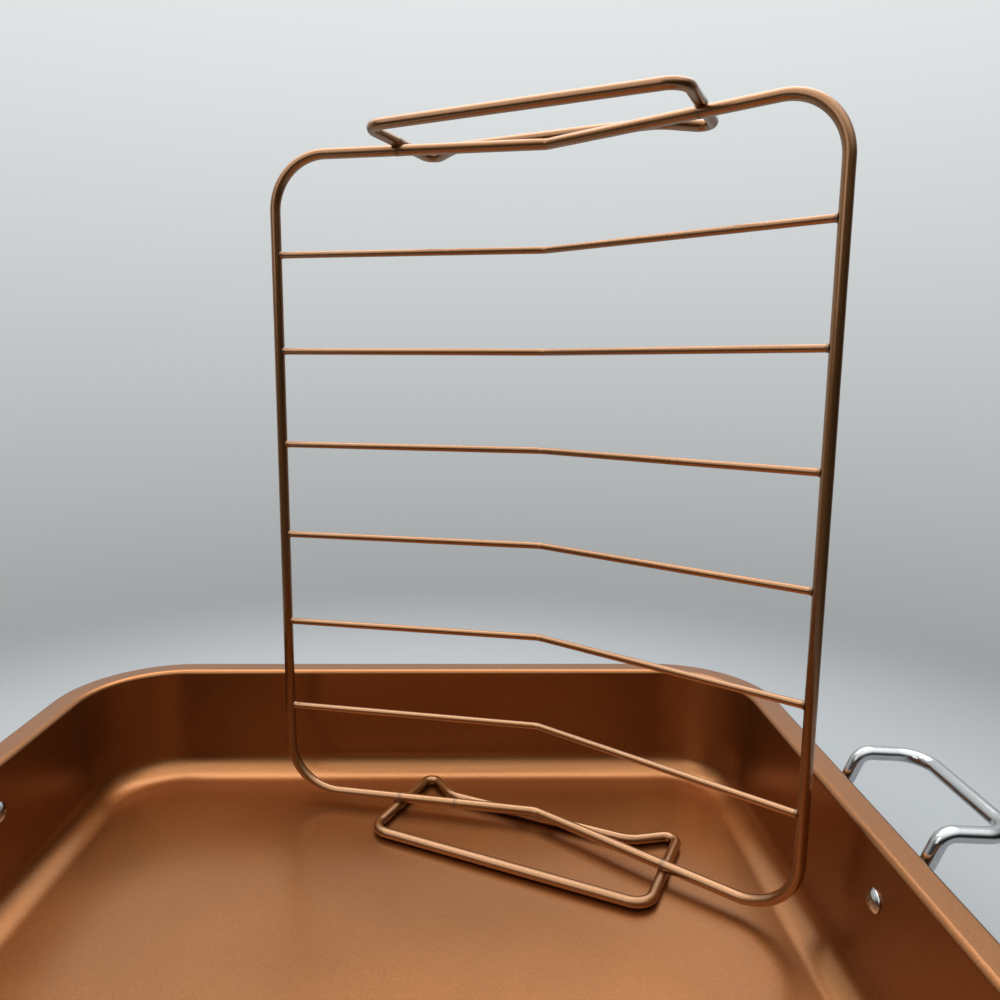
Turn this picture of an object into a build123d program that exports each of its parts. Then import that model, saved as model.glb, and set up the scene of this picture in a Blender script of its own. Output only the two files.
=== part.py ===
from build123d import *
import os
from math import cos, radians, sin, tan

# Roasting pan with two riveted wire handles, and the wire rack that stands on end inside it.
# The origin is under the middle of the pan, +X runs towards the right handle and +Z is up.

# Pan sheet
pan_length = 392.0
pan_width = 336.0
pan_height = 63.5
sheet = 1.2
rim_corner_radius = 58.0
rim_width = 12.5
rim_root_radius = 2.2
lip_drop = 3.6
lip_radius = 1.6
wall_draft = 5.0
floor_fillet_radius = 14.5

# Handle rod, its flattened tongues and the run of each leg
handle_rod = 6.3
handle_span = 66.0
handle_reach = 37.0
handle_rise = 6.8
handle_droop = 3.0
leg_lean = 22.7
leg_rim_gap = 2.8
elbow_drop = 7.3
elbow_radius = 7.0
leg_top_radius = 6.5
grip_corner_radius = 12.0
tongue_thickness = 2.5
tongue_width = 12.0
tongue_tail = 7.0
tongue_rise = 8.0
tongue_end_radius = 5.4
tongue_bend_radius = 4.0
tongue_lead = 3.2
taper_length = 7.2

# Rivets
rivet_height = 43.0
rivet_shank = 5.0
rivet_head = 9.5
rivet_head_height = 2.4
rivet_tail = 9.0
rivet_tail_height = 1.6

# Rack wires, measured between their centres
rack_length = 337.5
rack_half_span = 138.0
rack_bend = 14.1
frame_wire = 5.2
frame_corner_radius = 27.0
kink_radius = 8.0
rung_wire = 3.4
rung_count = 6
weld_sink = 1.4

# End loops, seen along the rack, with the bar on the food side and the feet under it
loop_wire = 5.2
loop_half_length = 73.0
bar_offset = 46.2
foot_corner_offset = 17.8
crosspiece_offset = 1.5
crosspiece_half_length = 51.0
loop_corner_radius = 9.0
foot_radius = 5.0
crosspiece_bend_radius = 16.0
top_loop_shift = 2.0

# Where the rack stands in the pan
kink_x = 62.8
kink_y = 93.2
rack_turn = 26.2
stand_gap = 0.3

# Places that follow from the pan's sizes
draft = radians(wall_draft)
middle_top = pan_height - sheet / 2
middle_floor = sheet / 2
wall_run = (middle_top - middle_floor) * tan(draft)
heel_run = (floor_fillet_radius + sheet / 2) * tan((radians(90) - draft) / 2)
floor_inset = rim_width + wall_run + heel_run
floor_length = pan_length - 2 * floor_inset
floor_width = pan_width - 2 * floor_inset
floor_corner_radius = rim_corner_radius - floor_inset

# The two ends and the two sides that carry handles and rivets
ends = {"right": 1, "left": -1}
rows = {"back": 1, "front": -1}


def wall_middle(height):
    """Distance from the pan's centre to the middle of the end wall's sheet at a height."""
    return pan_length / 2 - rim_width - (middle_top - height) * tan(draft)


def rivet_plane(end, row):
    """Plane in the middle of the end wall at a rivet, its normal pointing out of the pan."""
    origin = (end * wall_middle(rivet_height), row * handle_span / 2, rivet_height)
    return Plane(origin=origin, x_dir=(0, 1, 0), z_dir=(end * cos(draft), 0, -sin(draft)))


def make_pan_shell():
    """One sheet section carried round the floor's outline, with a flat floor inside it."""
    half_length = floor_length / 2
    half_width = floor_width / 2
    with BuildPart() as pan_shell:
        with BuildLine() as outline:
            FilletPolyline(
                (half_length, half_width),
                (-half_length, half_width),
                (-half_length, -half_width),
                (half_length, -half_width),
                radius=floor_corner_radius,
                close=True,
            )
        path = outline.wire()
        outwards = (path % 0).cross(Vector(0, 0, 1))
        with BuildSketch(Plane(origin=path @ 0, x_dir=outwards, z_dir=-(path % 0))):
            with BuildLine():
                FilletPolyline(
                    (0, middle_floor),
                    (heel_run, middle_floor),
                    (heel_run + wall_run, middle_top),
                    (floor_inset - sheet / 2, middle_top),
                    (floor_inset - sheet / 2, pan_height - lip_drop),
                    radius=[floor_fillet_radius + sheet / 2, rim_root_radius, lip_radius],
                )
            trace(line_width=sheet)
        sweep(path=path)
        with BuildSketch():
            RectangleRounded(floor_length, floor_width, floor_corner_radius)
        extrude(amount=sheet)
        for end in ends.values():
            for row in rows.values():
                with BuildSketch(rivet_plane(end, row)):
                    Circle(rivet_shank / 2)
                extrude(amount=sheet, both=True, mode=Mode.SUBTRACT)
    return pan_shell


def dome_radius(across, height):
    """Radius of the sphere whose cap has this width and height."""
    return ((across / 2) ** 2 + height**2) / (2 * height)


def make_rivet(end, row):
    """A rivet with a domed head inside the pan and a lower head over the handle's tongue."""
    plane = rivet_plane(end, row)
    inner = -sheet / 2
    outer = sheet / 2 + tongue_thickness
    with BuildPart() as rivet:
        with BuildSketch(Plane(origin=plane.origin, x_dir=plane.x_dir, z_dir=-plane.y_dir)):
            with BuildLine():
                head = RadiusArc(
                    (0, inner - rivet_head_height),
                    (rivet_head / 2, inner),
                    -dome_radius(rivet_head, rivet_head_height),
                )
                shank = Polyline(
                    head @ 1,
                    (rivet_shank / 2, inner),
                    (rivet_shank / 2, outer),
                    (rivet_tail / 2, outer),
                )
                tail = RadiusArc(
                    shank @ 1,
                    (0, outer + rivet_tail_height),
                    -dome_radius(rivet_tail, rivet_tail_height),
                )
                Line(tail @ 1, head @ 0)
            make_face()
        revolve(axis=Axis(plane.origin, plane.z_dir))
    return rivet


def make_handle(end):
    """A rod bent up past the rim and out to a grip, its ends flattened into riveted tongues."""
    lean = radians(leg_lean)
    tongue_middle = (sheet + tongue_thickness) / 2 / cos(draft)
    tail_height = rivet_height - tongue_tail
    bend_height = rivet_height + tongue_rise
    leg_at_rim = pan_length / 2 + leg_rim_gap + handle_rod / 2 / cos(lean)
    tail = Vector(wall_middle(tail_height) + tongue_middle, tail_height)
    bend = Vector(wall_middle(bend_height) + tongue_middle, bend_height)
    elbow = Vector(leg_at_rim - elbow_drop * tan(lean), pan_height - elbow_drop)
    leg_top = Vector(leg_at_rim + handle_rise * tan(lean), pan_height + handle_rise)
    grip_x = pan_length / 2 + handle_reach
    grip = Vector(grip_x, leg_top.Y - (grip_x - leg_top.X) * tan(radians(handle_droop)))
    rise = (elbow - bend).normalized()
    flat_end = bend + rise * tongue_lead
    round_start = flat_end + rise * taper_length

    def place(point, row):
        return Vector(end * point.X, row * handle_span / 2, point.Y)

    with BuildPart() as handle:
        for row in rows.values():
            leg_plane = Plane(origin=(0, row * handle_span / 2, 0), x_dir=(end, 0, 0), z_dir=(0, -end, 0))
            with BuildSketch(leg_plane):
                with BuildLine():
                    FilletPolyline(tail, bend, flat_end, radius=tongue_bend_radius)
                trace(line_width=tongue_thickness)
            extrude(amount=tongue_width / 2, both=True)
        tail_edges = handle.edges().filter_by(Axis((0, 0, 0), rivet_plane(end, 0).z_dir))
        fillet(tail_edges, radius=tongue_end_radius)
        for row in rows.values():
            heading = place(round_start, row) - place(flat_end, row)
            with BuildSketch(Plane(origin=place(flat_end, row), x_dir=(0, 1, 0), z_dir=heading)):
                Rectangle(tongue_width, tongue_thickness)
            with BuildSketch(Plane(origin=place(round_start, row), x_dir=(0, 1, 0), z_dir=heading)):
                Circle(handle_rod / 2)
            loft()
            with BuildSketch(rivet_plane(end, row)):
                Circle(rivet_shank / 2)
            extrude(amount=sheet + tongue_thickness, mode=Mode.SUBTRACT)
        leg = [round_start, elbow, leg_top, grip]
        leg_radii = [elbow_radius, leg_top_radius, grip_corner_radius]
        with BuildLine() as rod_line:
            FilletPolyline(
                *[place(point, 1) for point in leg],
                *[place(point, -1) for point in reversed(leg)],
                radius=leg_radii + leg_radii[::-1],
            )
        path = rod_line.wire()
        with BuildSketch(Plane(origin=path @ 0, z_dir=path % 0)):
            Circle(handle_rod / 2)
        sweep(path=path)
    return handle


def make_wire(corners, radii, diameter, close=False, meets=None):
    """A round wire along filleted corners, notched where it is welded to a wire that it meets."""
    with BuildPart() as wire:
        with BuildLine() as line:
            FilletPolyline(*corners, radius=radii, close=close)
        path = line.wire()
        with BuildSketch(Plane(origin=path @ 0, z_dir=path % 0)):
            Circle(diameter / 2)
        sweep(path=path)
        if meets:
            add(meets.part, mode=Mode.SUBTRACT)
    return wire


# Rack stands on its lower loop: heights count from the middle of the lower end wire
loop_step = (frame_wire + loop_wire) / 2 - weld_sink
end_wire_height = sheet + stand_gap + loop_wire / 2 + loop_step
turn = radians(rack_turn)
across_dir = (cos(turn), -sin(turn), 0)
rack_plane = Plane(origin=(kink_x, kink_y, end_wire_height), x_dir=across_dir, z_dir=(0, 0, 1))
side_across = rack_half_span * cos(radians(rack_bend))
side_depth = rack_half_span * sin(radians(rack_bend))


def rack_point(across, depth, height):
    """A point given across the rack, towards its underside and up from the lower end wire."""
    return rack_plane.from_local_coords(Vector(across, depth, height))


def make_frame_wire():
    """The closed outer wire: a rounded rectangle folded along the middle into a shallow V."""
    corners = [
        rack_point(0, 0, 0),
        rack_point(side_across, -side_depth, 0),
        rack_point(side_across, -side_depth, rack_length),
        rack_point(0, 0, rack_length),
        rack_point(-side_across, -side_depth, rack_length),
        rack_point(-side_across, -side_depth, 0),
    ]
    radii = [kink_radius, frame_corner_radius, frame_corner_radius]
    return make_wire(corners, radii * 2, frame_wire, close=True)


def make_rung(number, frame):
    """A thin cross wire with the same V, butted against the inner sides of the frame wire."""
    height = rack_length * number / (rung_count + 1)
    corners = [
        rack_point(-side_across, -side_depth, height),
        rack_point(0, 0, height),
        rack_point(side_across, -side_depth, height),
    ]
    return make_wire(corners, kink_radius, rung_wire, meets=frame)


def make_end_loop(height, shift, frame):
    """A closed wire loop over the end wire: a straight bar above, two feet and a crosspiece below."""
    corners = [
        rack_point(shift + loop_half_length, -bar_offset, height),
        rack_point(shift + loop_half_length, foot_corner_offset, height),
        rack_point(shift + crosspiece_half_length, crosspiece_offset, height),
        rack_point(shift - crosspiece_half_length, crosspiece_offset, height),
        rack_point(shift - loop_half_length, foot_corner_offset, height),
        rack_point(shift - loop_half_length, -bar_offset, height),
    ]
    radii = [loop_corner_radius, foot_radius, crosspiece_bend_radius]
    return make_wire(corners, radii + radii[::-1], loop_wire, close=True, meets=frame)


pieces = {"pan_shell": make_pan_shell()}
for end_name, end in ends.items():
    pieces[f"handle_{end_name}"] = make_handle(end)
    for row_name, row in rows.items():
        pieces[f"rivet_{end_name}_{row_name}"] = make_rivet(end, row)

rack_frame = make_frame_wire()
pieces["rack_frame_wire"] = rack_frame
for number in range(1, rung_count + 1):
    pieces[f"rack_rung_{number}"] = make_rung(number, rack_frame)
pieces["end_loop_bottom"] = make_end_loop(-loop_step, 0, rack_frame)
pieces["end_loop_top"] = make_end_loop(rack_length + loop_step, top_loop_shift, rack_frame)

os.makedirs("parts", exist_ok=True)
for label, piece in pieces.items():
    piece.part.label = label
    export_step(piece.part, f"parts/{label}.step")
    size = piece.part.bounding_box().size
    volume = piece.part.volume / 1000
    print(f"{label:18} {volume:8.2f} cm3   {size.X:6.1f} x {size.Y:6.1f} x {size.Z:6.1f} mm")
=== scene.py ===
# %% [markdown]
# # A copper-coloured roasting pan with its wire rack
#
# The frame brings in the solid model, one object for every piece of the real pan and rack.
# Everything below is laid over that frame in the same place and size, so nothing has to be
# fitted by eye: a sheet-metal pan, two steel handles with their rivets, and a rack bent and
# welded from wire. This first cell loads the frame and keeps the box that it fills.

import bpy
import numpy as np
from mathutils import Matrix, Vector


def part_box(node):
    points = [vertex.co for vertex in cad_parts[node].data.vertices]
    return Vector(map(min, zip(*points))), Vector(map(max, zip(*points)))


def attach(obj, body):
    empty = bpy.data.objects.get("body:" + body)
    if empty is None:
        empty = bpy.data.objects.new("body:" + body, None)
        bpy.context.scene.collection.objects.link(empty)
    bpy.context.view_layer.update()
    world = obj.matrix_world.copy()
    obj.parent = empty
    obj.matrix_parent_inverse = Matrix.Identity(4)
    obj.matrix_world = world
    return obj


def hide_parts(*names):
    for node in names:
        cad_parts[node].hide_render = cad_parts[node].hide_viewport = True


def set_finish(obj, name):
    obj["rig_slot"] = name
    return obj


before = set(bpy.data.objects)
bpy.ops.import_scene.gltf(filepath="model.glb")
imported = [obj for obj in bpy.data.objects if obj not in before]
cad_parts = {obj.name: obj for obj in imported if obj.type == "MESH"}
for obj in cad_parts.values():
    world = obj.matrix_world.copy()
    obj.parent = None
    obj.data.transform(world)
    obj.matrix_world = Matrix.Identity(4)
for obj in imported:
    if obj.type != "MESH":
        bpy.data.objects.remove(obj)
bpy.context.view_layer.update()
print("nodes:", sorted(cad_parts))

# %% [markdown]
# ## Lines that a piece follows
#
# A bent wire and a folded sheet have the same geometry: straight runs joined by arcs. Blender's
# own Bevel could round a polyline, but working the arcs out gives each bend its true radius and
# lets the points be spaced evenly afterwards, which a smooth tube needs.

# %% Rounded lines
mm = 0.001
same_angle, same_place = 1e-6, 1e-9


def unit(vectors):
    """Each vector divided by its length."""
    return vectors / np.linalg.norm(vectors, axis=-1, keepdims=True)


def bend_arc(before, corner, after, radius, count=28):
    """The arc of a radius that touches both runs at a corner: its centre lies on the corner's
    bisector, radius / sin(half the angle) away, and the arc turns from one touching point to the
    other."""
    into, out = unit(before - corner), unit(after - corner)
    half = np.arccos(np.clip(into @ out, -1, 1)) / 2
    if radius == 0 or half > np.pi / 2 - same_angle:
        return corner[None]
    centre = corner + unit(into + out) * radius / np.sin(half)
    first = unit(corner + into * radius / np.tan(half) - centre)
    last = unit(corner + out * radius / np.tan(half) - centre)
    turn = np.arccos(np.clip(first @ last, -1, 1))
    at = np.linspace(0, turn, count)[:, None]
    return centre + radius * (np.sin(turn - at) * first + np.sin(at) * last) / np.sin(turn)


def rounded_line(corners, radii, closed=False):
    """Points along straight runs whose corners are rounded by arcs. Where two arcs touch, the
    point that they share is kept once, since two equal points have no direction between them."""
    corners = np.array(corners, float)
    before, after = np.roll(corners, 1, 0), np.roll(corners, -1, 0)
    arcs = [bend_arc(*bend) for bend in zip(before, corners, after, radii)]
    if not closed:
        arcs[0], arcs[-1] = corners[:1], corners[-1:]
    line = np.concatenate(arcs)
    apart = np.linalg.norm(np.diff(line, axis=0), axis=1) > same_place
    return line[np.append(True, apart)]


def even_points(line, step, closed=False):
    """The same line with its points a fixed step apart, and the running length at each."""
    if closed:
        line = np.concatenate([line, line[:1]])
    run = np.concatenate([[0], np.cumsum(np.linalg.norm(np.diff(line, axis=0), axis=1))])
    count = max(int(round(run[-1] / step)), 2)
    at = np.linspace(0, run[-1], count + 1)
    even = np.stack([np.interp(at, run, line[:, k]) for k in range(line.shape[1])], -1)
    return (even[:-1] if closed else even), at[: count if closed else count + 1]


def fill_runs(line, longest, closed=False):
    """The same line with extra points on each straight stretch that is longer than the limit."""
    after = np.roll(line, -1, 0) if closed else line[1:]
    stretches = []
    for start, stop in zip(line, after):
        count = int(np.ceil(np.linalg.norm(stop - start) / longest))
        share = np.arange(count)[:, None] / max(count, 1)
        stretches.append(start + share * (stop - start))
    if not closed:
        stretches.append(line[-1:])
    return np.concatenate(stretches)


def headings(points, closed=False):
    """Unit direction of the line at each point, from its two neighbours."""
    if closed:
        return unit(np.roll(points, -1, 0) - np.roll(points, 1, 0))
    return unit(np.gradient(points, axis=0))


# %% [markdown]
# ## From a grid of points to a surface
#
# Every piece here is a grid: rows run along the piece and columns go round it. One helper turns
# any such grid into a mesh, closes its ends, gives it a UV map in metres along and round the
# piece, and turns its faces outwards by the sign of the volume that they enclose.

# %% Surfaces
def add_surface(name, grid, run, girth, closed=False, masks=None):
    """Quads through a grid of rows and columns that closes on itself round the columns. An open
    grid gets a point in the middle of each end, so that the surface has no hole. Each mask is a
    value for each row, kept on the points for the finishes to read."""
    rows, columns = grid.shape[:2]
    step, side = np.meshgrid(np.arange(rows if closed else rows - 1), np.arange(columns), indexing="ij")
    row = np.stack([step, step + 1, step + 1, step], -1).reshape(-1, 4)
    column = np.stack([side, side, side + 1, side + 1], -1).reshape(-1, 4)
    quads = (row % rows) * columns + column % columns
    points = grid.reshape(-1, 3)
    uv = [np.stack([run[row], girth[column]], -1).reshape(-1, 2)]
    faces = [quads]
    if not closed:
        ring = np.arange(columns)
        after = (ring + 1) % columns
        first = np.stack([ring, after, np.full(columns, rows * columns)], -1)
        last = np.stack([after, ring, np.full(columns, rows * columns + 1)], -1)
        last[:, :2] += (rows - 1) * columns
        points = np.concatenate([points, grid[[0, -1]].mean(1)])
        faces += [first, last]
        for end in (0, -1):
            fan = np.zeros((columns, 3, 2))
            fan[..., 0] = run[end]
            uv.append(fan.reshape(-1, 2))
    if enclosed_volume(points, faces) < 0:
        uv = [flip_corners(part, face.shape[1]) for part, face in zip(uv, faces)]
        faces = [face[:, ::-1] for face in faces]
    mesh = bpy.data.meshes.new(name)
    mesh.from_pydata(points.tolist(), [], [face for part in faces for face in part.tolist()])
    flat_uv = np.concatenate(uv).astype(np.float32).ravel()
    mesh.uv_layers.new(name="run").data.foreach_set("uv", flat_uv)
    for mask, values in (masks or {}).items():
        values = np.broadcast_to(values.reshape(rows, -1), (rows, columns)).ravel()
        values = np.append(values, np.zeros(len(points) - len(values))).astype(np.float32)
        mesh.attributes.new(mask, "FLOAT", "POINT").data.foreach_set("value", values)
    mesh.polygons.foreach_set("use_smooth", np.ones(len(mesh.polygons), bool))
    mesh.update()
    piece = bpy.data.objects.new(name, mesh)
    bpy.context.scene.collection.objects.link(piece)
    return piece


def enclosed_volume(points, faces):
    """Sum over the faces' triangles of the corners' triple product, divided by six."""
    total = 0.0
    for part in faces:
        for third in range(2, part.shape[1]):
            a, b, c = points[part[:, 0]], points[part[:, third - 1]], points[part[:, third]]
            total += np.einsum("ij,ij->", a, np.cross(b, c)) / 6
    return total


def flip_corners(flat, corners):
    """The same UV values with each face's corners in the opposite order."""
    return flat.reshape(-1, corners, 2)[:, ::-1].reshape(-1, 2)


def stand_for(piece, node, body, slot):
    """The piece takes a node's place, moves with its body and prints how far its box departs."""
    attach(piece, body)
    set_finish(piece, slot)
    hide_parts(node)
    low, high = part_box(node)
    points = np.empty(3 * len(piece.data.vertices), np.float32)
    piece.data.vertices.foreach_get("co", points)
    points = points.reshape(-1, 3)
    off = np.abs(np.concatenate([points.min(0) - low, points.max(0) - high])).max() / mm
    print(f"{piece.name}: {len(piece.data.polygons)} faces, {off:.2f} mm off {node}")


# %% [markdown]
# ## The pan
#
# The pan is one sheet of metal pressed into a tray: a flat floor, a generous fillet, a wall that
# leans out a little, a flat rim and a short lip turned down at the rim's edge. The same section
# goes all the way round the floor's outline, so the pan is a profile carried along a path.
# Solidify could thicken a single surface, but offsetting the section both ways keeps the inner
# and outer radii right, and one closed grid then holds the inside, the lip and the underside.

# %% Sizes of the pan
pan_low, pan_high = (np.array(corner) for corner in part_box("pan_shell"))
pan_length, pan_width, pan_height = pan_high - pan_low
sheet = 1.2 * mm
rim_corner_radius = 58 * mm
rim_width = 12.5 * mm
rim_root_radius = 2.2 * mm
lip_drop = 3.6 * mm
lip_radius = 1.6 * mm
wall_draft = np.radians(5)
floor_fillet_radius = 14.5 * mm
section_step, outline_step = 3 * mm, 8 * mm
floor_rings = np.concatenate([np.linspace(0.04, 0.96, 24), [0.975, 0.987, 0.996]])
floor_wave, wave_fade_power = 0.1 * mm, 6
wave_numbers, wave_starts = (31, 27), (1.0, -0.6)

middle_floor, middle_top = sheet / 2, pan_height - sheet / 2
wall_run = (middle_top - middle_floor) * np.tan(wall_draft)
heel_run = (floor_fillet_radius + sheet / 2) * np.tan((np.pi / 2 - wall_draft) / 2)
floor_inset = rim_width + wall_run + heel_run
print(f"floor inset {floor_inset / mm:.2f} mm, pan {pan_length / mm:.1f} x {pan_width / mm:.1f} mm")

# %% Pressed sheet
def pan_section(edge_points=5):
    """The sheet's middle line from the floor's edge to the lip's end, as distance out and height,
    then moved half a sheet to each side along its normal to give the inside and the outside. Half
    a circle rounds the lip's cut edge."""
    lip_x = floor_inset - sheet / 2
    corners = [
        (0, middle_floor),
        (heel_run, middle_floor),
        (heel_run + wall_run, middle_top),
        (lip_x, middle_top),
        (lip_x, pan_height - lip_drop),
    ]
    line = rounded_line(corners, [0, floor_fillet_radius + sheet / 2, rim_root_radius, lip_radius, 0])
    middle = fill_runs(line, section_step)
    heading = headings(middle)
    normal = np.stack([-heading[:, 1], heading[:, 0]], -1)
    inside = middle + normal * sheet / 2
    outside = middle - normal * sheet / 2
    angle = np.linspace(0, np.pi, edge_points + 2)[1:-1, None]
    edge = middle[-1] + sheet / 2 * (np.cos(angle) * normal[-1] + np.sin(angle) * heading[-1])
    return inside, edge, outside[::-1]


def floor_outline():
    """The floor's rounded rectangle and the direction straight out of it at each point."""
    half = np.array([pan_length, pan_width]) / 2 - floor_inset
    corners = half * np.array([(1, 1), (-1, 1), (-1, -1), (1, -1)])
    radius = rim_corner_radius - floor_inset
    rounded = rounded_line(corners, [radius] * 4, closed=True)
    line = fill_runs(rounded, outline_step, closed=True)
    heading = headings(line, closed=True)
    return line, np.stack([heading[:, 1], -heading[:, 0]], -1)


def make_pan_sheet():
    """Each point of the section, a distance out and a height, is set off from each point of the
    outline along its outward direction. Inside the outline the floor is the outline itself, made
    smaller ring by ring, with the slight unevenness of pressed sheet as the product of a sine and
    a cosine wave that fades out towards the fillet."""
    outline, outwards = floor_outline()
    section = np.concatenate(pan_section())
    upper = outline[None] * floor_rings[:, None, None]
    wall = outline[None] + outwards[None] * section[:, :1, None]
    heights = np.broadcast_to(section[:, 1, None], wall.shape[:2])
    along = np.sin(upper[..., 0] * wave_numbers[0] + wave_starts[0])
    across = np.cos(upper[..., 1] * wave_numbers[1] + wave_starts[1])
    wave = floor_wave * along * across * (1 - floor_rings[:, None] ** wave_fade_power)
    places = np.concatenate([upper, wall, upper[::-1]])
    height = np.concatenate([sheet + wave, heights, np.maximum(wave[::-1], 0)])
    grid = np.concatenate([places, height[..., None]], -1)
    travel = np.concatenate([[0], np.cumsum(np.linalg.norm(np.diff(grid[:, 0], axis=0), axis=1))])
    around = np.linalg.norm(np.diff(outline, axis=0, append=outline[:1]), axis=1)
    return add_surface("pan_sheet", grid, travel, np.concatenate([[0], np.cumsum(around)]))


pan_sheet = make_pan_sheet()
stand_for(pan_sheet, "pan_shell", "pan", "copper_coating")

# %% [markdown]
# ## Handles
#
# Each handle starts as one length of steel rod. Its ends are hammered flat into tongues that lie
# against the wall's outside, then the rod leans out, turns over the rim and makes the grip. The
# grid follows the rod's middle line, and its section is a superellipse: wide, thin and square
# shouldered on the tongue, and swelling into a circle over a short taper.

# %% Sizes of the handles
handle_span = 66 * mm
handle_reach = 37 * mm
handle_rise = 6.8 * mm
handle_droop = np.radians(3)
handle_rod = 6.3 * mm
leg_lean = np.radians(22.7)
leg_rim_gap = 2.8 * mm
elbow_drop, elbow_radius = 7.3 * mm, 7 * mm
leg_top_radius, grip_corner_radius = 6.5 * mm, 12 * mm
tongue_thickness, tongue_width = 2.5 * mm, 12 * mm
tongue_tail, tongue_rise, tongue_lead = 7 * mm, 8 * mm, 3.2 * mm
tongue_end_radius, tongue_bend_radius = 5.4 * mm, 4 * mm
taper_length = 7.2 * mm
rivet_height = 43 * mm
handle_step = 0.5 * mm
round_power, tongue_power = 2, 7
leg_limit = 1e-3


def wall_middle(height):
    """Distance from the pan's centre to the middle of the end wall's sheet at a height."""
    return pan_length / 2 - rim_width - (middle_top - height) * np.tan(wall_draft)


def handle_line():
    """Half of the handle's middle line, from a tongue's tail to the middle of the grip, as seen
    from the right end: x outwards, y along the wall and z up."""
    off = (sheet + tongue_thickness) / 2 / np.cos(wall_draft)
    leg_at_rim = pan_length / 2 + leg_rim_gap + handle_rod / 2 / np.cos(leg_lean)
    tail_z, bend_z = rivet_height - tongue_tail, rivet_height + tongue_rise
    elbow_x = leg_at_rim - elbow_drop * np.tan(leg_lean)
    top_x, top_z = leg_at_rim + handle_rise * np.tan(leg_lean), pan_height + handle_rise
    grip_x = pan_length / 2 + handle_reach
    grip_z = top_z - (grip_x - top_x) * np.tan(handle_droop)
    half = handle_span / 2
    corners = [
        (wall_middle(tail_z) + off, half, tail_z),
        (wall_middle(bend_z) + off, half, bend_z),
        (elbow_x, half, pan_height - elbow_drop),
        (top_x, half, top_z),
        (grip_x, half, grip_z),
        (grip_x, 0, grip_z),
    ]
    radii = [0, tongue_bend_radius, elbow_radius, leg_top_radius, grip_corner_radius, 0]
    return rounded_line(corners, radii)


# %% Bent rod with flattened ends
def superellipse(across, through, power, sides):
    """Points where |x / across|^power + |y / through|^power = 1, for each row's own sizes."""
    angle = np.linspace(0, 2 * np.pi, sides, endpoint=False)[None]
    cosine, sine = np.cos(angle), np.sin(angle)
    x = across[:, None] * np.sign(cosine) * np.abs(cosine) ** (2 / power[:, None])
    y = through[:, None] * np.sign(sine) * np.abs(sine) ** (2 / power[:, None])
    return x, y


def smooth_step(value, low, high):
    """0 before low, 1 after high, and 3t^2 - 2t^3 between them."""
    t = np.clip((value - low) / (high - low), 0, 1)
    return t * t * (3 - 2 * t)


def make_handle(end, sides=40):
    """The rod's line with a superellipse set square to it. The section's thin side faces the
    wall, and the tail's width follows a circle so that the tongue ends round. A leg runs in one
    plane, where its heading has next to no part along the wall, and the grip leaves that plane."""
    half_line = handle_line()
    mirrored = half_line[-2::-1] * (1, -1, 1)
    line, run = even_points(np.concatenate([half_line, mirrored]), handle_step)
    reach = np.minimum(run, run[-1] - run)
    bend_at = (tongue_tail + tongue_rise) / np.cos(wall_draft)
    swell = smooth_step(reach, bend_at + tongue_lead, bend_at + tongue_lead + taper_length)
    inward = np.clip(tongue_end_radius - reach, 0, None)
    drawn_in = tongue_end_radius - np.sqrt(np.clip(tongue_end_radius**2 - inward**2, 0, None))
    across = (1 - swell) * (tongue_width / 2 - drawn_in) + swell * handle_rod / 2
    through = (1 - swell) * tongue_thickness / 2 + swell * handle_rod / 2
    power = round_power + (tongue_power - round_power) * (1 - swell)
    heading = headings(line)
    sideways = np.array([0.0, 1.0, 0.0])
    over = np.array([np.sin(handle_droop), 0.0, np.cos(handle_droop)])
    on_leg = (np.abs(heading[:, 1]) < leg_limit)[:, None]
    outward = unit(np.where(on_leg, np.sign(line[:, 1:2]) * np.cross(heading, sideways), over))
    flank = np.cross(heading, outward)
    x, y = superellipse(across, through, power, sides)
    grid = line[:, None] + x[..., None] * flank[:, None] + y[..., None] * outward[:, None]
    grid = grid * (end, 1, 1)
    girth = np.linspace(0, 2 * np.pi, sides + 1) * handle_rod / 2
    name = "handle_rod_right" if end > 0 else "handle_rod_left"
    return add_surface(name, grid, run, girth)


for end, side_name in ((1, "right"), (-1, "left")):
    stand_for(make_handle(end), f"handle_{side_name}", "pan", "polished_steel")

# %% [markdown]
# ## Rivets
#
# Two rivets hold each handle. Inside the pan a rivet shows a smooth low dome, and outside its
# hammered end spreads over the tongue. A rivet is turned about its axis, so its grid is a
# profile swept round a circle: radius and height of each point, one ring for each.

# %% Rivets
rivet_shank = 5 * mm
rivet_head, rivet_head_height = 9.5 * mm, 2.4 * mm
rivet_tail, rivet_tail_height = 9 * mm, 1.6 * mm
skirt_share, skirt_foot_share, top_ring_angle = 0.18, 0.985, 0.02


def dome(width, height, count=14):
    """Half of a spherical cap, from its rim to its top, with a short straight skirt: radius is
    R sin(angle) and height R cos(angle), less the part of the sphere under the cap."""
    skirt = height * skirt_share
    rise = height - skirt
    sphere = ((width / 2) ** 2 + rise**2) / (2 * rise)
    angle = np.linspace(np.arcsin(width / 2 / sphere), top_ring_angle, count)
    cap = np.stack([sphere * np.sin(angle), skirt + sphere * np.cos(angle) - sphere + rise], -1)
    return np.concatenate([[(width / 2 * skirt_foot_share, 0)], cap])


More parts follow.
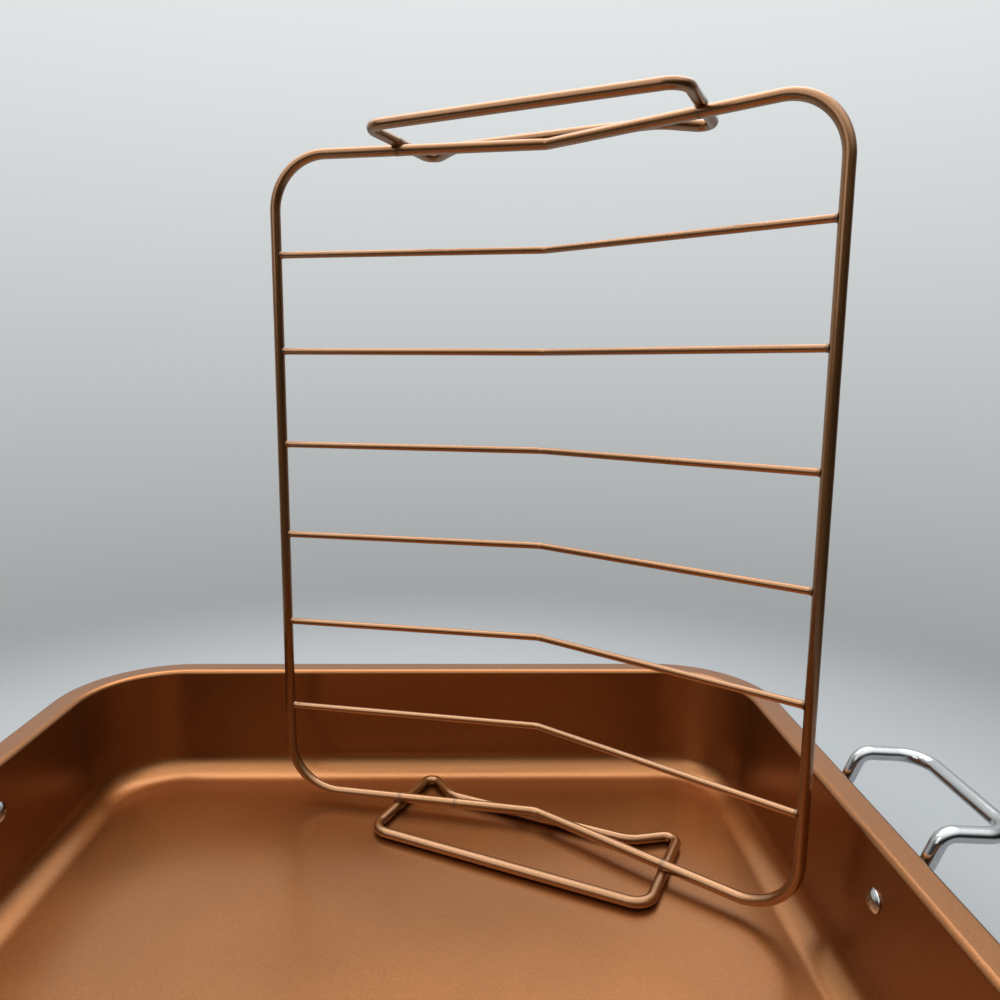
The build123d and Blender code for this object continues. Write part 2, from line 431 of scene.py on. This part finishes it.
def make_rivet(end, row, name, sides=48):
    """The profile's radius is carried round the rivet's axis, which is square to the wall."""
    inner, outer = -sheet / 2, sheet / 2 + tongue_thickness
    head = dome(rivet_head, rivet_head_height) * (1, -1) + (0, inner)
    tail = dome(rivet_tail, rivet_tail_height) + (0, outer)
    shank = np.array([(rivet_shank / 2, inner), (rivet_shank / 2, outer)])
    profile = np.concatenate([head[::-1], shank, tail])
    axis = np.array([end * np.cos(wall_draft), 0, -np.sin(wall_draft)])
    upright = np.cross(axis, (0, 1, 0))
    centre = np.array([end * wall_middle(rivet_height), row * handle_span / 2, rivet_height])
    angle = np.linspace(0, 2 * np.pi, sides, endpoint=False)
    level = np.array([0, 1, 0])
    spokes = np.cos(angle)[:, None] * level + np.sin(angle)[:, None] * upright
    grid = centre + profile[:, :1, None] * spokes[None] + profile[:, 1:, None] * axis
    run = np.concatenate([[0], np.cumsum(np.linalg.norm(np.diff(profile, axis=0), axis=1))])
    return add_surface(name, grid, run, np.linspace(0, 2 * np.pi, sides + 1) * rivet_head / 2)


for end, end_name in ((1, "right"), (-1, "left")):
    for row, row_name in ((1, "back"), (-1, "front")):
        rivet = make_rivet(end, row, f"rivet_dome_{end_name}_{row_name}")
        stand_for(rivet, f"rivet_{end_name}_{row_name}", "pan", "polished_steel")

# %% [markdown]
# ## The rack's wires
#
# The rack is all round wire: one thick wire bent into a closed frame with a shallow V down its
# middle, six thin rungs with the same V, and two closed loops that serve as feet or handles.
# A curve object with a bevel would give a tube too, but a grid lets the radius change along the
# wire, so the swelling at each weld and the coating's uneven thickness are in the shape itself.

# %% Where the rack stands
rack_half_span, rack_bend = 138 * mm, np.radians(14.1)
frame_wire, rung_wire, loop_wire = 5.2 * mm, 3.4 * mm, 5.2 * mm
frame_corner_radius, kink_radius = 27 * mm, 8 * mm
kink_x, kink_y, rack_turn = 62.8 * mm, 93.2 * mm, np.radians(26.2)
side_across = rack_half_span * np.cos(rack_bend)
side_depth = rack_half_span * np.sin(rack_bend)
across_axis = np.array([np.cos(rack_turn), -np.sin(rack_turn), 0])
depth_axis = np.array([np.sin(rack_turn), np.cos(rack_turn), 0])
frame_low, frame_high = (np.array(corner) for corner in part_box("rack_frame_wire"))
low_wire, high_wire = frame_low[2] + frame_wire / 2, frame_high[2] - frame_wire / 2
print(f"rack wires from {low_wire / mm:.1f} to {high_wire / mm:.1f} mm up")


def rack_points(places):
    """Places given across the rack, towards its underside and in height, as points in the frame."""
    places = np.array(places, float)
    origin = np.array([kink_x, kink_y, 0])
    up = np.array([0, 0, 1.0])
    return origin + places[:, :1] * across_axis + places[:, 1:2] * depth_axis + places[:, 2:] * up


# %% Tubes
coat_swing = 0.004
coat_waves = [(7.3 * mm, 1), (17.9 * mm, 2), (3.1 * mm, 3)]
rising = 0.5


def coat_share(run, seed):
    """What the coating makes of a wire's radius: one plus three sine waves that share no period."""
    return 1 + coat_swing * sum(np.sin(run / length + turn * seed) for length, turn in coat_waves)


def make_tube(name, corners, radii, diameter, seed, closed=False, step=0.8 * mm, sides=24, bumps=()):
    """Circles square to the wire's line. Their radius is the wire's times the coating's share,
    plus a Gaussian swelling at each bump, which is a place, a height and a width. Where a wire
    rises, its rings start from the rack's depth direction, and on a level wire from the upright."""
    line, run = even_points(rounded_line(corners, radii, closed), step, closed)
    heading = headings(line, closed)
    aside = depth_axis if abs(heading[:, 2]).max() > rising else (0, 0, 1)
    across = unit(np.cross(heading, aside))
    through = np.cross(heading, across)
    angle = np.linspace(0, 2 * np.pi, sides, endpoint=False)
    ring = np.cos(angle)[:, None] * across[:, None] + np.sin(angle)[:, None] * through[:, None]
    radius = diameter / 2 * coat_share(run, seed)
    mark = np.zeros(len(run))
    for place, height, width in bumps:
        swell = np.exp(-((np.linalg.norm(line - place, axis=1) / width) ** 2))
        radius = radius + height * swell
        mark = np.maximum(mark, swell)
    grid = line[:, None] + radius[:, None, None] * ring
    run = np.append(run, run[-1] + step)
    girth = np.linspace(0, np.pi * diameter, sides + 1)
    return add_surface(name, grid, run, girth, closed, {"weld": mark})


# %% [markdown]
# The frame wire is one length of wire, bent at six places and welded end to end at a butt joint
# on the lower end wire. The loops are welded to it where they cross it. Each weld leaves a small
# ring of swollen coating, which the tube carries as a bump and as a mask for the finish; the
# finish darkens the colour under the mask, a painted shade where the wires meet.

# %% Frame wire
butt_place, butt_height, butt_width = -43 * mm, 0.08 * mm, 0.8 * mm
crossing_height, crossing_width = 0.12 * mm, 1.1 * mm
frame_corners = rack_points([
    (0, 0, low_wire),
    (side_across, -side_depth, low_wire),
    (side_across, -side_depth, high_wire),
    (0, 0, high_wire),
    (-side_across, -side_depth, high_wire),
    (-side_across, -side_depth, low_wire),
])
loop_half_length = 73 * mm
loop_shifts = {"end_loop_bottom": 0.0, "end_loop_top": 2 * mm}


def on_end_wire(across, height):
    """The middle of an end wire at a place across the rack."""
    return rack_points([(across, -abs(across) * np.tan(rack_bend), height)])[0]


crossings = []
for shift, height in zip(loop_shifts.values(), (low_wire, high_wire)):
    crossings += [on_end_wire(shift + side * loop_half_length, height) for side in (1, -1)]
butt_joint = on_end_wire(butt_place, low_wire)
welds = [(crossing, crossing_height, crossing_width) for crossing in crossings]
frame_tube = make_tube(
    "frame_tube",
    frame_corners,
    [kink_radius, frame_corner_radius, frame_corner_radius] * 2,
    frame_wire,
    seed=1.3,
    closed=True,
    bumps=[(butt_joint, butt_height, butt_width), *welds],
)
stand_for(frame_tube, "rack_frame_wire", "rack", "copper_coating")

# %% [markdown]
# Each rung is a short thin wire with the same V, pressed a little way into the frame wire's two
# sides while hot, so the metal flares round its ends. Only the height differs from rung to rung,
# and it is read from the solid that the tube covers.

# %% Rungs
rung_sink, rung_step, rung_sides, first_rung_seed = 0.4 * mm, 0.5 * mm, 20, 2.1
flare_height, flare_width = 0.45 * mm, 0.9 * mm
rung_share = 1 - (frame_wire / 2 - rung_sink) / rack_half_span
rung_across, rung_depth = side_across * rung_share, -side_depth * rung_share
rung_names = sorted(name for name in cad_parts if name.startswith("rack_rung_"))
for number, node in enumerate(rung_names):
    rung_low, rung_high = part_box(node)
    height = (rung_low[2] + rung_high[2]) / 2
    corners = rack_points([
        (-rung_across, rung_depth, height),
        (0, 0, height),
        (rung_across, rung_depth, height),
    ])
    tube = make_tube(
        f"rung_tube_{number + 1}",
        corners,
        [0, kink_radius, 0],
        rung_wire,
        seed=first_rung_seed + number,
        step=rung_step,
        sides=rung_sides,
        bumps=[(end, flare_height, flare_width) for end in corners[::2]],
    )
    stand_for(tube, node, "rack", "copper_coating")

# %% [markdown]
# Each end loop is a flat ring of the thick wire, welded across the frame's end wire at two
# places. One side is a long straight bar, to hold or to stand on. The other side has two feet,
# and between them a crosspiece is bent in close to the frame's fold. Both loops have the same
# outline, and the upper one sits a little to the side.

# %% End loops
bead_height, bead_width = 0.18 * mm, 1.7 * mm
seed_per_metre = 9
bar_offset = 46.2 * mm
foot_corner_offset, foot_radius = 17.8 * mm, 5 * mm
crosspiece_offset, crosspiece_half_length, crosspiece_bend_radius = 1.5 * mm, 51 * mm, 16 * mm
loop_corner_radius = 9 * mm
for node, shift in loop_shifts.items():
    loop_low, loop_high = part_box(node)
    height = (loop_low[2] + loop_high[2]) / 2
    corners = rack_points([
        (shift + loop_half_length, -bar_offset, height),
        (shift + loop_half_length, foot_corner_offset, height),
        (shift + crosspiece_half_length, crosspiece_offset, height),
        (shift - crosspiece_half_length, crosspiece_offset, height),
        (shift - loop_half_length, foot_corner_offset, height),
        (shift - loop_half_length, -bar_offset, height),
    ])
    radii = [loop_corner_radius, foot_radius, crosspiece_bend_radius]
    places = [point * (1, 1, 0) + (0, 0, height) for point in crossings]
    tube = make_tube(
        node.replace("end_loop", "loop_tube"),
        corners,
        radii + radii[::-1],
        loop_wire,
        seed=height * seed_per_metre,
        closed=True,
        bumps=[(place, bead_height, bead_width) for place in places],
    )
    stand_for(tube, node, "rack", "copper_coating")

# %% [markdown]
# ## Finishes
#
# The coating is a satin non-stick layer full of fine metal flakes: it mirrors the room in a soft
# blur and sparkles close up. A picture of flakes would repeat itself and show seams, so one group
# works them out from the place on the piece. It gives out a colour, a roughness and a height, and
# each material sets its own values in it.

# %% Node helpers
def group_socket(group, name, direction, kind="NodeSocketFloat", value=None):
    """A named input or output of a node group, with its starting value."""
    socket = group.interface.new_socket(name=name, in_out=direction, socket_type=kind)
    if value is not None:
        socket.default_value = value
    return socket


def fill_inputs(tree, node, inputs):
    """Each named input of a node, either linked to a socket or set to a value."""
    for name, value in inputs.items():
        if isinstance(value, bpy.types.NodeSocket):
            tree.links.new(value, node.inputs[name])
        else:
            node.inputs[name].default_value = value


def add_node(tree, kind, inputs=None, **settings):
    """A node with its settings and its inputs."""
    node = tree.nodes.new(kind)
    for name, value in settings.items():
        setattr(node, name, value)
    fill_inputs(tree, node, inputs or {})
    return node


def add_math(tree, operation, *values):
    """The result of one operation on two or three numbers or sockets."""
    given = dict(enumerate(values))
    return add_node(tree, "ShaderNodeMath", given, operation=operation).outputs[0]


def add_range(tree, value, first, last, low=0.0, high=1.0, course="LINEAR"):
    """A level that goes from first to last while a value goes from low to high."""
    given = {"Value": value, "From Min": low, "From Max": high, "To Min": first, "To Max": last}
    return add_node(tree, "ShaderNodeMapRange", given, interpolation_type=course).outputs[0]


def add_noise(tree, place, scale, detail):
    """The level of a noise at a place."""
    given = {"Vector": place, "Scale": scale, "Detail": detail}
    return add_node(tree, "ShaderNodeTexNoise", given).outputs["Fac"]


def add_relief(tree, height, distance):
    """The surface's direction, tilted by a height whose full level stands for a distance."""
    given = {"Height": height, "Strength": 1.0, "Distance": distance}
    return add_node(tree, "ShaderNodeBump", given).outputs["Normal"]


def new_material(name):
    """A material with its node tree and its shader."""
    material = bpy.data.materials.new(name)
    material.use_nodes = True
    return material, material.node_tree, material.node_tree.nodes["Principled BSDF"]


# %% Flakes in the coating
patch_scale, patch_detail = 14.0, 3.0
patch_low, patch_high = 0.3, 0.7
ripple_scale, ripple_detail = 420.0, 2.0
# Painted shade at the welds: the mask level at which it is full, and the share of the colour left
# there.
weld_shade_full, weld_shade_level = 0.9, 0.6
roughness_of_weld, roughness_of_patch = 0.12, 0.03
flake_height = 0.35


def make_flake_group():
    """Voronoi cells a flake wide give each flake its own brightness, and two noises, one a hand
    wide and one a few millimetres wide, make the coating uneven. The weld's mask darkens the
    colour, a painted shade where the wires meet, and makes the surface rougher."""
    group = bpy.data.node_groups.new("coating_flakes", "ShaderNodeTree")
    group_socket(group, "Place", "INPUT", "NodeSocketVector")
    group_socket(group, "Coating Color", "INPUT", "NodeSocketColor", (0.5, 0.25, 0.1, 1))
    group_socket(group, "Flake Size", "INPUT", value=0.4 * mm)
    group_socket(group, "Flake Contrast", "INPUT", value=0.2)
    group_socket(group, "Roughness", "INPUT", value=0.35)
    group_socket(group, "Patchiness", "INPUT", value=0.05)
    group_socket(group, "Weld Mark", "INPUT", value=0.0)
    group_socket(group, "Color", "OUTPUT", "NodeSocketColor")
    group_socket(group, "Roughness", "OUTPUT")
    group_socket(group, "Height", "OUTPUT")
    given = add_node(group, "NodeGroupInput").outputs
    place, weld = given["Place"], given["Weld Mark"]
    scale = add_math(group, "DIVIDE", 1.0, given["Flake Size"])
    flakes = add_node(group, "ShaderNodeTexVoronoi", {"Vector": place, "Scale": scale})
    cell = add_node(group, "ShaderNodeSeparateColor", {"Color": flakes.outputs["Color"]})
    sparkle = cell.outputs["Red"]
    patches = add_noise(group, place, patch_scale, patch_detail)
    ripple = add_noise(group, place, ripple_scale, ripple_detail)
    swing = add_range(group, sparkle, -1.0, 1.0)
    uneven = add_range(group, patches, -1.0, 1.0, patch_low, patch_high)
    lift = add_math(group, "MULTIPLY_ADD", swing, given["Flake Contrast"], 1.0)
    patch = add_math(group, "MULTIPLY_ADD", uneven, given["Patchiness"], 1.0)
    # The colour darkens under the weld mask: a painted shade where the wires meet.
    weld_shade = add_range(group, weld, 1.0, weld_shade_level, high=weld_shade_full)
    shade = add_math(group, "MULTIPLY", add_math(group, "MULTIPLY", lift, patch), weld_shade)
    tint = {0: given["Coating Color"], "Scale": shade}
    matt = add_math(group, "MULTIPLY_ADD", weld, roughness_of_weld, given["Roughness"])
    fill_inputs(group, add_node(group, "NodeGroupOutput"), {
        "Color": add_node(group, "ShaderNodeVectorMath", tint, operation="SCALE").outputs[0],
        "Roughness": add_math(group, "MULTIPLY_ADD", uneven, roughness_of_patch, matt),
        "Height": add_math(group, "MULTIPLY_ADD", sparkle, flake_height, ripple),
    })
    return group


flake_group = make_flake_group()

# %% [markdown]
# The pan and the rack carry the same coating. On the wires it is glossier and a little paler, so
# they turn pale where they catch the light. The metallic base gives the copper its deep colour,
# and the clear skin over it mirrors the room without that colour, as a lacquer does.

# %% Copper-coloured coating
copper, wire_copper = (0.31, 0.110, 0.022), (0.29, 0.121, 0.031)
edge_tint = (0.6, 0.55, 0.5, 1)
base_metallic, flake_contrast = 0.95, 0.13


def make_coating(name, color, roughness, flake_size, relief, coat, coat_roughness, coat_ior):
    """A metallic base under a thin clear skin, with the flakes' colour, roughness and height."""
    material, tree, shader = new_material(name)
    flakes = add_node(tree, "ShaderNodeGroup", {
        "Place": add_node(tree, "ShaderNodeTexCoord").outputs["Object"],
        "Coating Color": (*color, 1),
        "Flake Size": flake_size,
        "Flake Contrast": flake_contrast,
        "Roughness": roughness,
        "Weld Mark": add_node(tree, "ShaderNodeAttribute", attribute_name="weld").outputs["Fac"],
    }, node_tree=flake_group)
    fill_inputs(tree, shader, {
        "Base Color": flakes.outputs["Color"],
        "Roughness": flakes.outputs["Roughness"],
        "Normal": add_relief(tree, flakes.outputs["Height"], relief),
        "Metallic": base_metallic,
        "Specular Tint": edge_tint,
        "Coat Weight": coat,
        "Coat Roughness": coat_roughness,
        "Coat IOR": coat_ior,
    })
    return material


pan_coating = make_coating(
    "pan_coating",
    copper,
    roughness=0.32,
    flake_size=0.45 * mm,
    relief=0.009 * mm,
    coat=0.75,
    coat_roughness=0.26,
    coat_ior=1.5,
)
wire_coating = make_coating(
    "wire_coating",
    wire_copper,
    roughness=0.34,
    flake_size=0.35 * mm,
    relief=0.007 * mm,
    coat=1.0,
    coat_roughness=0.19,
    coat_ior=1.62,
)

# %% [markdown]
# Handles and rivets are bare steel, polished on a wheel, which leaves fine lines round the rod.
# The lines are a noise stretched in the UV map: many cycles along the rod and few round it. They
# change the roughness and the brightness a little and tilt the surface by next to nothing.

# %% Polished steel
line_scale, line_detail = (4000.0, 120.0, 1.0), 3.0
steel_roughness, roughness_swing = 0.14, 0.3
dark_line, bright_line, line_depth = 0.42, 0.54, 0.0015 * mm


def make_steel(name):
    """Bright steel whose fine polishing lines run round the rod."""
    material, tree, shader = new_material(name)
    run = add_node(tree, "ShaderNodeUVMap", uv_map="run").outputs["UV"]
    stretched = add_node(tree, "ShaderNodeMapping", {"Vector": run, "Scale": line_scale}).outputs[0]
    lines = add_noise(tree, stretched, 1.0, line_detail)
    smoothest, roughest = (steel_roughness * (1 + sign * roughness_swing) for sign in (-1, 1))
    shade = add_range(tree, lines, dark_line, bright_line)
    grey = {"Red": shade, "Green": shade, "Blue": shade}
    fill_inputs(tree, shader, {
        "Base Color": add_node(tree, "ShaderNodeCombineColor", grey).outputs[0],
        "Roughness": add_range(tree, lines, smoothest, roughest),
        "Normal": add_relief(tree, lines, line_depth),
        "Metallic": 1.0,
    })
    return material


steel = make_steel("polished_steel_rod")

# %% Give every piece its finish
finishes = {"polished_steel": steel, "copper_coating": wire_coating}
for piece in [thing for thing in bpy.data.objects if thing.type == "MESH" and "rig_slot" in thing]:
    finish = pan_coating if piece == pan_sheet else finishes[piece["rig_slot"]]
    piece.data.materials.clear()
    piece.data.materials.append(finish)
    print(piece.name, "->", finish.name)
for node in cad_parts.values():
    for slot in node.material_slots:
        slot.material = steel if "handle" in node.name or "rivet" in node.name else wire_coating

# %% [markdown]
# ## Floor and light
#
# The photograph was taken in front of a pale, softly lit sheet with no line between floor and
# wall. The floor here is a wide disc that fades out into the world's own pale colour, so no
# horizon shows, and it still takes the pan's shadow.

# %% Floor
disc_radius, disc_rings, disc_sides = 1.6, 24, 96
smallest_ring, floor_gap = 0.01, 0.2 * mm
fade_start, fade_end = 0.28, 0.62
paper = (0.33, 0.34, 0.35)


def make_floor():
    """Rings of points round the pan, just under the height that the pan stands on."""
    angle = np.linspace(0, 2 * np.pi, disc_sides, endpoint=False)
    spread = np.linspace(smallest_ring, 1, disc_rings)[:, None]
    flat = np.zeros((disc_rings, disc_sides))
    grid = np.stack([spread * np.cos(angle), spread * np.sin(angle), flat], -1) * disc_radius
    points = np.concatenate([np.zeros((1, 3)), grid.reshape(-1, 3)])
    step, side = np.meshgrid(np.arange(disc_rings - 1), np.arange(disc_sides), indexing="ij")
    after = (side + 1) % disc_sides
    inner, outer = 1 + step * disc_sides, 1 + (step + 1) * disc_sides
    quads = np.stack([inner + side, outer + side, outer + after, inner + after], -1)
    middle = np.stack([np.zeros(disc_sides, int), 1 + side[0], 1 + after[0]], -1)
    mesh = bpy.data.meshes.new("studio_floor")
    mesh.from_pydata(points.tolist(), [], quads.reshape(-1, 4).tolist() + middle.tolist())
    floor = bpy.data.objects.new("studio_floor", mesh)
    bpy.context.scene.collection.objects.link(floor)
    floor.location.z = -floor_gap
    return floor


def make_floor_paper():
    """Matt paper near the pan that turns clear towards the disc's edge."""
    material, tree, _ = new_material("floor_paper")
    tree.nodes.clear()
    place = add_node(tree, "ShaderNodeTexCoord").outputs["Object"]
    away = add_node(tree, "ShaderNodeVectorMath", {0: place}, operation="LENGTH").outputs["Value"]
    mixed = add_node(tree, "ShaderNodeMixShader", {
        "Fac": add_range(tree, away, 0.0, 1.0, fade_start, fade_end, "SMOOTHSTEP"),
        1: add_node(tree, "ShaderNodeBsdfDiffuse", {"Color": (*paper, 1)}).outputs[0],
        2: add_node(tree, "ShaderNodeBsdfTransparent").outputs[0],
    })
    add_node(tree, "ShaderNodeOutputMaterial", {"Surface": mixed.outputs[0]})
    return material


studio_floor = make_floor()
studio_floor.data.materials.append(make_floor_paper())
print(f"floor: {len(studio_floor.data.polygons)} faces, {2 * disc_radius} m wide")

# %% [markdown]
# A room lights the pan from all sides, so the world itself carries most of the light. The camera
# sees only its pale sheet, on every side. What the coating and the steel mirror is the room: the
# same sheet behind the pan, brighter overhead, and a dim side where the photographer stood. Each
# row below is a level that changes along one axis: from where, to where, and the two levels.

# %% Room light
room_levels = {
    "sheet": ("Z", -0.3, 0.4, 0.34, 0.81),
    "above the sheet": ("Z", 0.3, 0.5, 0.0, 0.2),
    "ceiling": ("Z", 0.68, 0.95, 0.0, 1.5),
    "table": ("Z", -0.8, -0.25, 0.25, 0.0),
    "camera side": ("Z", 0.2, 0.95, 0.03, 2.0),
    "behind the pan": ("Y", -0.4, 0.4, 0.0, 1.0),
    "right wall": ("X", 0.45, 1.0, 1.0, 0.35),
}
room_tint = (0.965, 1.0, 1.01)


def make_world():
    """The levels behind the pan are added up, mixed with the camera side's by how far a direction
    points back, and dimmed towards the right wall. Rays from the camera get the sheet alone."""
    world = bpy.data.worlds.new("pale_room")
    bpy.context.scene.world = world
    world.use_nodes = True
    tree = world.node_tree
    direction = add_node(tree, "ShaderNodeTexCoord").outputs["Generated"]
    parts = add_node(tree, "ShaderNodeSeparateXYZ", {"Vector": direction}).outputs
    level = {}
    for name, (axis, low, high, first, last) in room_levels.items():
        course = "LINEAR" if name == "sheet" else "SMOOTHSTEP"
        level[name] = add_range(tree, parts[axis], first, last, low, high, course)
    behind = level["sheet"]
    for name in ("above the sheet", "ceiling", "table"):
        behind = add_math(tree, "ADD", behind, level[name])
    sides = {0: level["behind the pan"], 2: level["camera side"], 3: behind}
    room = add_node(tree, "ShaderNodeMix", sides).outputs[0]
    room = add_math(tree, "MULTIPLY", room, level["right wall"])
    seen = add_node(tree, "ShaderNodeLightPath").outputs["Is Camera Ray"]
    shown = add_node(tree, "ShaderNodeMix", {0: seen, 2: room, 3: level["sheet"]}).outputs[0]
    light = add_node(tree, "ShaderNodeVectorMath", {0: room_tint, "Scale": shown}, operation="SCALE")
    fill_inputs(tree, tree.nodes["Background"], {"Color": light.outputs[0]})
    return world


def add_lamp(name, place, target, size, watts):
    """A soft rectangular light at a place, turned to face a target."""
    lamp = bpy.data.lights.new(name, "AREA")
    lamp.shape = "RECTANGLE"
    lamp.size, lamp.size_y = size
    lamp.energy = watts
    holder = bpy.data.objects.new(name, lamp)
    bpy.context.scene.collection.objects.link(holder)
    holder.location = place
    holder.rotation_euler = (Vector(target) - Vector(place)).to_track_quat("-Z", "Y").to_euler()
    return holder


make_world()
pan_middle = (0.0, 0.0, 0.1)
lamps = [
    add_lamp("ceiling_light", (-0.15, 0.55, 1.4), pan_middle, size=(2.2, 1.1), watts=12),
    add_lamp("left_window", (-1.0, -0.8, 0.75), pan_middle, size=(0.8, 0.8), watts=2.5),
]
print("lamps:", [(lamp.name, lamp.data.energy) for lamp in lamps])

# %% [markdown]
# ## Camera
#
# The camera stands where the photographer's phone did: close in front of the pan, looking a
# little down and past the rack. Its place and tilt come from the straight wires of the rack.

# %% Camera
sensor_width, lens_share = 36, 0.81013
camera_data = bpy.data.cameras.new("phone_camera")
camera_data.sensor_width = sensor_width
camera_data.lens = sensor_width * lens_share
camera_data.clip_start = 10 * mm
camera = bpy.data.objects.new("phone_camera", camera_data)
bpy.context.scene.collection.objects.link(camera)
camera_place = Vector((0.0314, -0.3082, 0.2369))
camera_turn, camera_dip, camera_roll = np.radians(-1.543), np.radians(8.642), np.radians(0.5235)
camera.matrix_world = (
    Matrix.Translation(camera_place)
    @ Matrix.Rotation(camera_turn, 4, "Z")
    @ Matrix.Rotation(np.pi / 2 - camera_dip, 4, "X")
    @ Matrix.Rotation(camera_roll, 4, "Z")
)
bpy.context.scene.camera = camera
bpy.context.scene.view_settings.view_transform = "Standard"
print(f"camera: {camera_data.lens:.1f} mm lens, {camera_place.z / mm:.0f} mm up")
